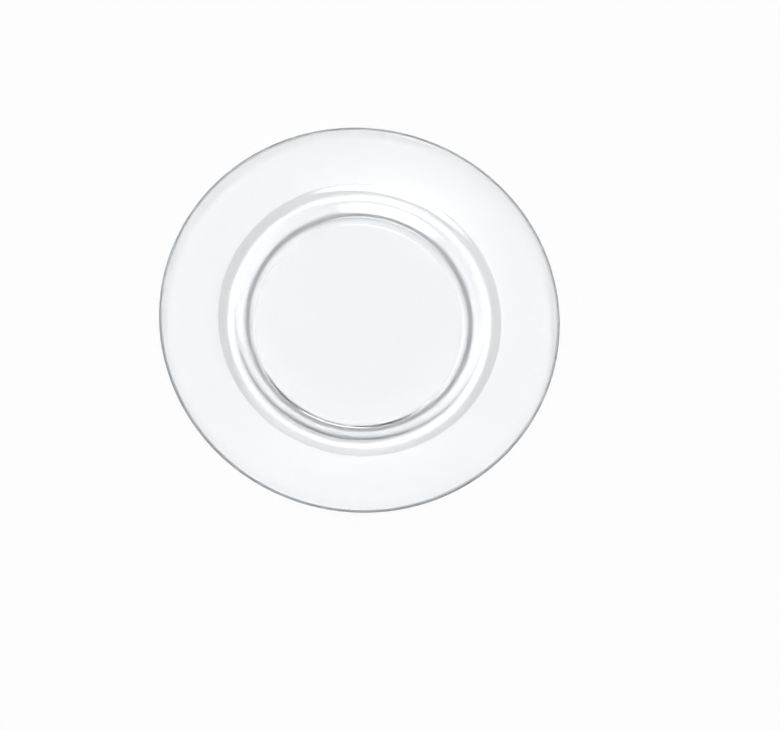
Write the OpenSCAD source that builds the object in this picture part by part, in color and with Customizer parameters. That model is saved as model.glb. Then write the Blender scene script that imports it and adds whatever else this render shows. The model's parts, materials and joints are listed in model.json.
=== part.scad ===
// Charger plate in clear pressed glass, all one piece: a flat round well, a sloping wall
// that steps up over a soft shoulder, and a wide rim that rises to a fire-polished edge.
// Millimetres, +Z up. The origin is on the table, under the middle of the plate.

/* [Plate] */
// Diameter over the edge of the rim
plate_d = 330; // [280:1:360]
// Height from the table to the top of the edge
plate_h = 24.5; // [23:0.5:32]

/* [Rim] */
// Thickness of the glass across the rim, which is also the width of its round edge
rim_t = 5.3; // [3.5:0.1:7]

/* [Well] */
// Diameter of the flat floor, out to where the wall starts
floor_d = 185; // [140:1:220]
// Depth of the floor below the start of the rim
well_depth = 12.4; // [9:0.1:14]
// Slope of the wall, in degrees from level
wall_slope = 57; // [48:1:66]
// Round where the floor turns up into the wall
floor_round = 4.5; // [1:0.5:6]
// Round of the shoulder, where the wall turns out into the rim
shoulder_round = 7; // [3:0.5:12]

/* [Underside] */
// Thickness of the glass under the well
base_t = 7.7; // [6:0.1:10]
// Thickness of the glass across the middle of the wall
wall_t = 6.4; // [5.5:0.1:9]
// Slope of the underside of the wall, in degrees from level
under_slope = 34; // [31:1:42]
// Round where the underside of the wall turns out under the rim
under_round = 32; // [10:1:45]
// Round where the resting face turns up into the wall
foot_round = 4; // [1:0.5:8]

/* [Hidden] */
glass = [0.88, 0.93, 0.95, 0.45];
$fn = 240;
// Rounds stand this far past the faces that they touch, so that each meets its faces in a clean edge
overlap = 0.003;
// How far the blank of a round runs past its corner
overrun = 1;

// Upper side: the edge of the floor and the start of the rim, as sharp corners
floor_edge = [floor_d / 2, base_t];
shoulder = floor_edge + [well_depth / tan(wall_slope), well_depth];

// The rim is a slab that ends in a full round, and its slope makes the upper face touch that round
edge_r = rim_t / 2;
edge_centre = [plate_d / 2 - edge_r, plate_h - edge_r];
to_edge = edge_centre - shoulder;
rim_slope = atan2(to_edge.y, to_edge.x) + asin(edge_r / norm(to_edge));
rim_up = [-sin(rim_slope), cos(rim_slope)];
edge_over = edge_centre + (edge_r - overlap) * rim_up;
edge_under = edge_centre - (edge_r - overlap) * rim_up;

// Underside of the wall: a line at under_slope that leaves wall_t of glass at the middle of the wall
wall_out = [sin(wall_slope), -cos(wall_slope)];
wall_back = (floor_edge + shoulder) / 2 + wall_t * wall_out;
foot = [wall_back.x - wall_back.y / tan(under_slope), 0];
under_rise = edge_under.y - edge_under.x * tan(rim_slope);
under_x = (under_rise + foot.x * tan(under_slope)) / (tan(under_slope) - tan(rim_slope));
under = [under_x, (under_x - foot.x) * tan(under_slope)];

// Sharp corners of the section through one side, out along the underside and back over the top
corners = [[0, 0], foot, under, edge_under, edge_over, shoulder, floor_edge, [0, base_t]];

// The space between a corner at b, whose sides run to a and c, and a round of radius r
module beside_round(a, b, c, r) {
    to_a = (a - b) / norm(a - b);
    to_c = (c - b) / norm(c - b);
    half = acos(to_a * to_c) / 2;
    centre = b + (to_a + to_c) / norm(to_a + to_c) * r / sin(half);
    kite = [centre, b + to_a * r / tan(half), b, b + to_c * r / tan(half)];
    difference() {
        polygon([for (p = kite) centre + (p - centre) * (r + overrun) / r]);
        translate(centre) circle(r + overlap);
    }
}

module half_section() {
    difference() {
        union() {
            polygon(corners);
            translate(edge_centre) circle(edge_r);
            beside_round([0, base_t], floor_edge, shoulder, floor_round);
            beside_round(edge_under, under, foot, under_round);
        }
        beside_round(floor_edge, shoulder, edge_over, shoulder_round);
        beside_round(under, foot, [0, 0], foot_round);
    }
}

module plate() {
    color(glass) rotate_extrude() half_section();
}

plate();
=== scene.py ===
import json
import math

import bpy
from mathutils import Matrix, Quaternion, Vector


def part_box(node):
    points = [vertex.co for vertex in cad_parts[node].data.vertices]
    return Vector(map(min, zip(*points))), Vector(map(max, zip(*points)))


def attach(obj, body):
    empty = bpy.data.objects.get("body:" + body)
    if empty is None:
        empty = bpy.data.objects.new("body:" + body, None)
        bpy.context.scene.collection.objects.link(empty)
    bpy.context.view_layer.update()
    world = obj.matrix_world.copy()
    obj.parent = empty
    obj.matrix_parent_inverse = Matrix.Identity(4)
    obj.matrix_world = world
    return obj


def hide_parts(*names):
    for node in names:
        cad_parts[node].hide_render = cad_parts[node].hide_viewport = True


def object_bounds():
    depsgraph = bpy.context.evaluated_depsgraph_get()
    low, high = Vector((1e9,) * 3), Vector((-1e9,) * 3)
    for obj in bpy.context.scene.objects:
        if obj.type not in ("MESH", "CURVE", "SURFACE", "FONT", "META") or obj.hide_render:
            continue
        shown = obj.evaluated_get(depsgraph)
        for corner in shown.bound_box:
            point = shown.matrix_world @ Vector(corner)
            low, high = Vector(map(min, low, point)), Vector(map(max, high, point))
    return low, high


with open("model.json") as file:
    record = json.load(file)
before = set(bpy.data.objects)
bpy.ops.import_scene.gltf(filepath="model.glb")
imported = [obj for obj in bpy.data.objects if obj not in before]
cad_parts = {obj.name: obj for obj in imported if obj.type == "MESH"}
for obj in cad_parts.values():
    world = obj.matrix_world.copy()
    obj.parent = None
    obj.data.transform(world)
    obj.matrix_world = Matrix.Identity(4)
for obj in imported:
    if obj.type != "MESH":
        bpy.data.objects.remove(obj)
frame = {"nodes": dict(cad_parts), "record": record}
cadLow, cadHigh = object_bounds()
scene = bpy.context.scene
print("frame loaded:", sorted(frame["nodes"]))


# helpers for node trees

def setInputs(node, **values):
    for name, value in values.items():
        node.inputs[name.replace("_", " ")].default_value = value
    return node


def groupInput(tree, name, kind):
    tree.interface.new_socket(name, in_out="INPUT", socket_type="NodeSocket" + kind)


def freshTree(owner):
    owner.use_nodes = True
    owner.node_tree.nodes.clear()
    return owner.node_tree


def mathNode(tree, operation, first, second):
    node = tree.nodes.new("ShaderNodeMath")
    node.operation = operation
    for socket, value in zip(node.inputs, (first, second)):
        if isinstance(value, (int, float)):
            socket.default_value = value
        else:
            tree.links.new(value, socket)
    return node.outputs["Value"]


# clear pressed glass

clearGlass = {
    "ior": 1.52,
    "tint": (0.985, 0.991, 1.0),       # the cool side of plain soda-lime glass
    "tintDeep": (0.972, 0.981, 0.996),
    "streakScale": 9.0,                # slow drifts in the melt, per metre
    "streakDetail": 2,
    "haze": (0.0, 0.012),              # roughness where the polish is best and worst
    "hazeSpread": (0.45, 0.8),         # where the noise starts to count as haze and counts in full
    "hazeScale": 38.0,
    "hazeDetail": 4,
    "hazeGrain": 0.6,
    "rippleScale": 24.0,               # the faint waviness that pressing leaves
    "rippleDetail": 1,
    "rippleDepth": 0.00002,
    "paintedEdgeShade": (0.28, 0.31, 0.32),    # painted shade: a dark band in the base colour at the thick rounded outer edge, in place of the dark line that refraction and shade give there
    "paintedEdgeShadeBand": (0.0022, 0.0008),      # how far in from the edge the painted shade starts and is full
    "absorbColor": (0.80, 0.93, 0.97),
    "absorbDensity": 1.6,
}


def noiseNode(tree, coords, scale, detail, roughness=0.5):
    node = tree.nodes.new("ShaderNodeTexNoise")
    setInputs(node, Scale=scale, Detail=detail, Roughness=roughness)
    tree.links.new(coords, node.inputs["Vector"])
    return node.outputs["Fac"]


def glassMaterial(look):
    material = bpy.data.materials.new("clearGlass")
    tree = freshTree(material)
    coords = tree.nodes.new("ShaderNodeTexCoord").outputs["Object"]
    output = tree.nodes.new("ShaderNodeOutputMaterial")
    shader = tree.nodes.new("ShaderNodeBsdfPrincipled")
    setInputs(shader, IOR=look["ior"], Transmission_Weight=1.0, Metallic=0.0)

    streaks = tree.nodes.new("ShaderNodeValToRGB")
    streaks.color_ramp.elements[0].color = (*look["tintDeep"], 1)
    streaks.color_ramp.elements[1].color = (*look["tint"], 1)
    streakNoise = noiseNode(tree, coords, look["streakScale"], look["streakDetail"])
    tree.links.new(streakNoise, streaks.inputs["Fac"])

    # painted shade: the base colour darkens in a band at the outer edge, by distance from the plate's axis
    level = tree.nodes.new("ShaderNodeVectorMath")
    level.operation = "MULTIPLY"
    level.inputs[1].default_value = (1, 1, 0)
    distance = tree.nodes.new("ShaderNodeVectorMath")
    distance.operation = "LENGTH"
    band = tree.nodes.new("ShaderNodeMapRange")
    band.interpolation_type = "SMOOTHSTEP"
    outer = cadHigh.x
    setInputs(band, From_Min=outer - look["paintedEdgeShadeBand"][0], From_Max=outer - look["paintedEdgeShadeBand"][1])
    edge = tree.nodes.new("ShaderNodeMix")
    edge.data_type = "RGBA"
    edge.inputs["B"].default_value = (*look["paintedEdgeShade"], 1)
    tree.links.new(coords, level.inputs[0])
    tree.links.new(level.outputs["Vector"], distance.inputs[0])
    tree.links.new(distance.outputs["Value"], band.inputs["Value"])
    tree.links.new(band.outputs["Result"], edge.inputs["Factor"])
    tree.links.new(streaks.outputs["Color"], edge.inputs["A"])
    tree.links.new(edge.outputs["Result"], shader.inputs["Base Color"])

    haze = tree.nodes.new("ShaderNodeMapRange")
    setInputs(haze, From_Min=look["hazeSpread"][0], From_Max=look["hazeSpread"][1])
    setInputs(haze, To_Min=look["haze"][0], To_Max=look["haze"][1])
    hazeNoise = noiseNode(tree, coords, look["hazeScale"], look["hazeDetail"], look["hazeGrain"])
    tree.links.new(hazeNoise, haze.inputs["Value"])
    tree.links.new(haze.outputs["Result"], shader.inputs["Roughness"])

    ripple = tree.nodes.new("ShaderNodeBump")
    setInputs(ripple, Strength=1.0, Distance=look["rippleDepth"])
    rippleNoise = noiseNode(tree, coords, look["rippleScale"], look["rippleDetail"])
    tree.links.new(rippleNoise, ripple.inputs["Height"])
    tree.links.new(ripple.outputs["Normal"], shader.inputs["Normal"])

    absorb = tree.nodes.new("ShaderNodeVolumeAbsorption")
    setInputs(absorb, Color=(*look["absorbColor"], 1), Density=look["absorbDensity"])
    tree.links.new(shader.outputs["BSDF"], output.inputs["Surface"])
    tree.links.new(absorb.outputs["Volume"], output.inputs["Volume"])
    return material


# the plate: one section, turned about the vertical axis

plateSizes = {
    "rimThickness": 0.0053,
    "floorDiameter": 0.185,
    "wellDepth": 0.0124,
    "wallSlope": 57.0,
    "floorRound": 0.0045,
    "shoulderRound": 0.007,
    "wallThickness": 0.0064,
    "underSlope": 34.0,
    "underRound": 0.032,
    "footRound": 0.004,
    "arcSteps": 22,
    "ringSteps": 480,
    "spindle": 0.001,                  # radius of the sweep's path, taken off the section
    "weldGap": 0.000002,
    "flatWeight": 100,                 # large faces lead the normals, so that flats stay optically flat
}


def mountHeight(name):
    return next(m["pos_m"][2] for m in frame["record"]["mounts"] if m["name"] == name)


def sectionCorners(size):
    low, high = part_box("plate")
    radius, height, baseThickness = (high.x - low.x) / 2, high.z, mountHeight("well_floor")
    wall, under = math.radians(size["wallSlope"]), math.radians(size["underSlope"])
    edgeRadius = size["rimThickness"] / 2

    floorEdge = Vector((size["floorDiameter"] / 2, baseThickness))
    shoulder = floorEdge + Vector((size["wellDepth"] / math.tan(wall), size["wellDepth"]))
    edgeCentre = Vector((radius - edgeRadius, height - edgeRadius))
    toEdge = edgeCentre - shoulder
    rimSlope = math.atan2(toEdge.y, toEdge.x) + math.asin(edgeRadius / toEdge.length)
    along = Vector((math.cos(rimSlope), math.sin(rimSlope)))
    upward = Vector((-along.y, along.x))

    wallBack = (floorEdge + shoulder) / 2 + size["wallThickness"] * Vector((math.sin(wall), -math.cos(wall)))
    foot = Vector((wallBack.x - wallBack.y / math.tan(under), 0))
    rimBack = edgeCentre - edgeRadius * upward
    rise = rimBack.y - rimBack.x * math.tan(rimSlope)
    underX = (rise + foot.x * math.tan(under)) / (math.tan(under) - math.tan(rimSlope))
    underRim = Vector((underX, (underX - foot.x) * math.tan(under)))

    return {
        "Floor Centre": (Vector((0, baseThickness)), 0),
        "Floor Edge": (floorEdge, size["floorRound"]),
        "Shoulder": (shoulder, size["shoulderRound"]),
        "Edge Top": (edgeCentre + edgeRadius * (along + upward), edgeRadius),
        "Edge Bottom": (edgeCentre + edgeRadius * (along - upward), edgeRadius),
        "Under Rim": (underRim, size["underRound"]),
        "Foot": (foot, size["footRound"]),
        "Base Centre": (Vector((0, 0)), 0),
    }


def turningTree(cornerNames, size):
    # corners and rounds come in by name; a sweep round the spindle turns the section into the plate
    tree = bpy.data.node_groups.new("turnedSection", "GeometryNodeTree")
    tree.interface.new_socket("Geometry", in_out="OUTPUT", socket_type="NodeSocketGeometry")
    groupInput(tree, "Arc Steps", "Int")
    groupInput(tree, "Ring Steps", "Int")
    groupInput(tree, "Glass", "Material")
    for name in cornerNames:
        groupInput(tree, name, "Vector")
        groupInput(tree, name + " Round", "Float")
    nodes, links = tree.nodes, tree.links
    inputs, output = nodes.new("NodeGroupInput").outputs, nodes.new("NodeGroupOutput")
    index = nodes.new("GeometryNodeInputIndex").outputs["Index"]

    def byCorner(kind, suffix):
        switch = nodes.new("GeometryNodeIndexSwitch")
        switch.data_type = kind
        while len(switch.index_switch_items) < len(cornerNames):
            switch.index_switch_items.new()
        links.new(index, switch.inputs["Index"])
        for number, name in enumerate(cornerNames):
            links.new(inputs[name + suffix], switch.inputs[number + 1])
        return switch.outputs["Output"]

    points = setInputs(nodes.new("GeometryNodeMeshLine"), Count=len(cornerNames))
    place = nodes.new("GeometryNodeSetPosition")
    curve = nodes.new("GeometryNodeMeshToCurve")
    rounds = setInputs(nodes.new("GeometryNodeFilletCurve"), Limit_Radius=True)
    rounds.mode = "POLY"
    circle = setInputs(nodes.new("GeometryNodeCurvePrimitiveCircle"), Radius=size["spindle"])
    sweep = nodes.new("GeometryNodeCurveToMesh")
    weld = setInputs(nodes.new("GeometryNodeMergeByDistance"), Distance=size["weldGap"])
    smooth = nodes.new("GeometryNodeSetShadeSmooth")
    realize = nodes.new("GeometryNodeRealizeInstances")
    coat = nodes.new("GeometryNodeSetMaterial")

    links.new(points.outputs["Mesh"], place.inputs["Geometry"])
    links.new(byCorner("VECTOR", ""), place.inputs["Position"])
    links.new(place.outputs["Geometry"], curve.inputs["Mesh"])
    links.new(curve.outputs["Curve"], rounds.inputs["Curve"])
    links.new(inputs["Arc Steps"], rounds.inputs["Count"])
    links.new(byCorner("FLOAT", " Round"), rounds.inputs["Radius"])
    links.new(inputs["Ring Steps"], circle.inputs["Resolution"])
    links.new(circle.outputs["Curve"], sweep.inputs["Curve"])
    links.new(rounds.outputs["Curve"], sweep.inputs["Profile Curve"])
    chain = (sweep, weld, smooth, realize, coat)
    for before, after in zip(chain, chain[1:]):
        links.new(before.outputs[0], after.inputs[0])
    links.new(inputs["Glass"], coat.inputs["Material"])
    links.new(coat.outputs["Geometry"], output.inputs["Geometry"])
    return tree


def setTreeInputs(modifier, values):
    for item in modifier.node_group.interface.items_tree:
        if item.item_type == "SOCKET" and item.in_out == "INPUT" and item.name in values:
            modifier[item.identifier] = values[item.name]


def bakeMesh(piece):
    # the evaluated shape becomes a plain mesh, and the modifiers go
    evaluated = piece.evaluated_get(bpy.context.evaluated_depsgraph_get())
    mesh = bpy.data.meshes.new_from_object(evaluated)
    piece.modifiers.clear()
    piece.data = mesh


def makePlate(size, material):
    piece = bpy.data.objects.new("glassPlate", bpy.data.meshes.new("glassPlate"))
    scene.collection.objects.link(piece)
    corners = sectionCorners(size)
    turning = piece.modifiers.new("turning", "NODES")
    turning.node_group = turningTree(list(corners), size)
    values = {"Arc Steps": size["arcSteps"], "Ring Steps": size["ringSteps"], "Glass": material}
    for name, (point, corner) in corners.items():
        values[name] = (point.x - size["spindle"], -point.y, 0.0)
        values[name + " Round"] = corner
    setTreeInputs(turning, values)
    flatFirst = piece.modifiers.new("flatFirst", "WEIGHTED_NORMAL")
    flatFirst.mode = "FACE_AREA"
    flatFirst.weight = size["flatWeight"]
    bakeMesh(piece)
    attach(piece, "root")
    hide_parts("plate")
    print("plate turned:", len(piece.data.polygons), "faces")


makePlate(plateSizes, glassMaterial(clearGlass))


# white table under the plate

whiteTable = {
    "span": 1.6,
    "drop": 0.0003,                    # just clear of the resting face
    "color": (0.70, 0.70, 0.70),
    "cameraShare": 0.95,               # how much of a look at the table is plain white, by kind of ray
    "glossyShare": 0.85,
    "transmissionShare": 0.05,         # low, so that the glass still shows its own shadow
}


def makeTable(look):
    half, level = look["span"] / 2, -look["drop"]
    mesh = bpy.data.meshes.new("table")
    corners = [(-half, -half, level), (half, -half, level), (half, half, level), (-half, half, level)]
    mesh.from_pydata(corners, [], [(0, 1, 2, 3)])
    table = bpy.data.objects.new("table", mesh)
    scene.collection.objects.link(table)

    material = bpy.data.materials.new("whiteTable")
    tree = freshTree(material)
    output = tree.nodes.new("ShaderNodeOutputMaterial")
    matte = setInputs(tree.nodes.new("ShaderNodeBsdfDiffuse"), Color=(*look["color"], 1))
    white = setInputs(tree.nodes.new("ShaderNodeEmission"), Color=(1, 1, 1, 1), Strength=1.0)
    ray = tree.nodes.new("ShaderNodeLightPath").outputs
    share = mathNode(tree, "MULTIPLY", ray["Is Camera Ray"], look["cameraShare"])
    # a ray that has passed through glass counts as glossy too, so its own share replaces the glossy one
    extra = look["transmissionShare"] - look["glossyShare"]
    for kind, part in (("Glossy", look["glossyShare"]), ("Transmission", extra)):
        share = mathNode(tree, "ADD", share, mathNode(tree, "MULTIPLY", ray[f"Is {kind} Ray"], part))
    mix = tree.nodes.new("ShaderNodeMixShader")
    tree.links.new(share, mix.inputs["Fac"])
    tree.links.new(matte.outputs["BSDF"], mix.inputs[1])
    tree.links.new(white.outputs["Emission"], mix.inputs[2])
    tree.links.new(mix.outputs["Shader"], output.inputs["Surface"])
    mesh.materials.append(material)


makeTable(whiteTable)
print("table laid")


# studio: two soft panels overhead in a dark room

studioLight = {
    "turn": 16.0,                      # degrees from straight behind to the studio's own axis
    "roomStrength": 0.05,
    # each panel has its middle, as degrees over the far horizon and lean to the right,
    # and its brightness by degrees from there
    "panels": (
        # the main light on the table
        {"middle": (101.0, -4.0), "levels": ((0.0, 14.6), (10.0, 14.6), (19.0, 0.0))},
        # the floor mirrors the middle of this one to the camera, and the rim its brighter ring
        {
            "middle": (73.4, 4.9),
            "levels": ((0.0, 4.0), (2.6, 4.0), (4.9, 4.6), (6.2, 7.5), (7.4, 7.5), (10.5, 0.0)),
        },
    ),
}


def studioPoint(angle, lean):
    # direction given over the far horizon and to the right, on the studio's own axis
    angle, lean = math.radians(angle), math.radians(lean)
    point = Vector((math.sin(lean), math.cos(lean) * math.cos(angle), math.cos(lean) * math.sin(angle)))
    return Matrix.Rotation(math.radians(studioLight["turn"]), 3, "Z") @ point


def panelGlow(tree, coords, panel):
    # brightness of one panel in the direction of coords
    reachCosine = math.cos(math.radians(panel["levels"][-1][0]))
    brightest = max(level for angle, level in panel["levels"])
    nearness = tree.nodes.new("ShaderNodeVectorMath")
    nearness.operation = "DOT_PRODUCT"
    nearness.inputs[1].default_value = studioPoint(*panel["middle"])
    reach = setInputs(tree.nodes.new("ShaderNodeMapRange"), From_Min=reachCosine, From_Max=1.0)
    rings = tree.nodes.new("ShaderNodeValToRGB")
    rings.color_ramp.interpolation = "EASE"
    while len(rings.color_ramp.elements) < len(panel["levels"]):
        rings.color_ramp.elements.new(0.5)
    for element, (angle, level) in zip(rings.color_ramp.elements, reversed(panel["levels"])):
        element.position = (math.cos(math.radians(angle)) - reachCosine) / (1 - reachCosine)
        element.color = (*[level / brightest] * 3, 1)
    tree.links.new(coords, nearness.inputs[0])
    tree.links.new(nearness.outputs["Value"], reach.inputs["Value"])
    tree.links.new(reach.outputs["Result"], rings.inputs["Fac"])
    return mathNode(tree, "MULTIPLY", rings.outputs["Color"], brightest)


def makeRoom(look):
    room = bpy.data.worlds.new("room")
    scene.world = room
    tree = freshTree(room)
    output = tree.nodes.new("ShaderNodeOutputWorld")
    light = tree.nodes.new("ShaderNodeBackground")
    white = setInputs(tree.nodes.new("ShaderNodeBackground"), Color=(1, 1, 1, 1), Strength=1.0)
    coords = tree.nodes.new("ShaderNodeTexCoord").outputs["Generated"]
    glow = look["roomStrength"]
    for panel in look["panels"]:
        glow = mathNode(tree, "ADD", panelGlow(tree, coords, panel), glow)
    ray = tree.nodes.new("ShaderNodeLightPath").outputs
    mix = tree.nodes.new("ShaderNodeMixShader")
    tree.links.new(glow, light.inputs["Strength"])
    tree.links.new(ray["Is Camera Ray"], mix.inputs["Fac"])
    tree.links.new(light.outputs["Background"], mix.inputs[1])
    tree.links.new(white.outputs["Background"], mix.inputs[2])
    tree.links.new(mix.outputs["Shader"], output.inputs["Surface"])


makeRoom(studioLight)
print("studio lit")


# camera at the photograph's angle

cameraView = {
    "distance": 2.5,
    "elevation": 72.8,
    "roll": 17.0,
    "focalPixels": 3019.0,             # for a picture 780 pixels wide
    "pictureWidth": 780.0,
    "sensorWidth": 36.0,
    "clipStart": 0.01,
    "aim": (0.0335, -0.0272, 0.0),     # where the middle of the picture meets the table
}


def makeCamera(look):
    data = bpy.data.cameras.new("camera")
    camera = bpy.data.objects.new("camera", data)
    scene.collection.objects.link(camera)
    tilt = math.radians(look["elevation"])
    camera.location = look["distance"] * Vector((0, -math.cos(tilt), math.sin(tilt)))
    gaze = (Vector(look["aim"]) - camera.location).to_track_quat("-Z", "Y")
    camera.rotation_mode = "QUATERNION"
    camera.rotation_quaternion = gaze @ Quaternion((0, 0, 1), math.radians(look["roll"]))
    data.sensor_width = look["sensorWidth"]
    data.lens = look["focalPixels"] / look["pictureWidth"] * look["sensorWidth"]
    data.clip_start = look["clipStart"]
    scene.camera = camera


makeCamera(cameraView)
scene.view_settings.view_transform = "Standard"
scene.cycles.blur_glossy = 0           # light through the glass stays sharp on the table
scene.cycles.sample_clamp_indirect = 0
scene.cycles.max_bounces = 40          # light runs through the base by many reflections inside the glass
scene.cycles.glossy_bounces = 32
scene.cycles.transmission_bounces = 32
print("camera set")
